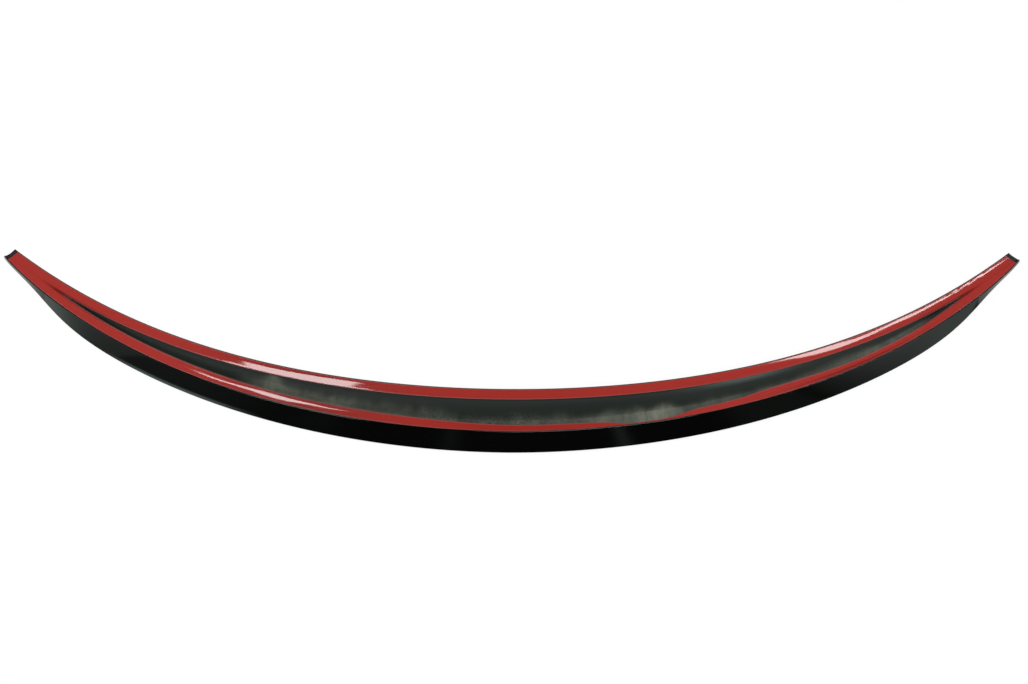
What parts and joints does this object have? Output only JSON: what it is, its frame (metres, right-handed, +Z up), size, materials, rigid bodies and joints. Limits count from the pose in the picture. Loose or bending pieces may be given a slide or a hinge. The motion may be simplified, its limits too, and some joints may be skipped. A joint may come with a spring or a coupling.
{
  "type": "boot lid lip spoiler",
  "caption": "Crescent-shaped glossy black boot lid lip spoiler lying upside down, with red-lined adhesive strips along its front edge and rim.",
  "frame": {"origin": "bottom centre of the bounding box, with the part lying upside down on its lip and tips", "axes": "+X along the span to the right, +Y from the lip toward the swept-back tips, +Z up"},
  "size_m": [1.21, 0.2592, 0.0231],
  "materials": {
    "gloss_black": "glossy black outside, satin with pale overspray in the hollow",
    "foam": "closed-cell foam, matte",
    "red_film": "glossy red release film"
  },
  "bodies": {
    "root": {"spoiler_shell": "gloss_black", "front_tape_foam": "foam", "front_tape_liner": "red_film", "rear_tape_foam": "foam", "rear_tape_liner": "red_film"}
  },
  "joints": []
}
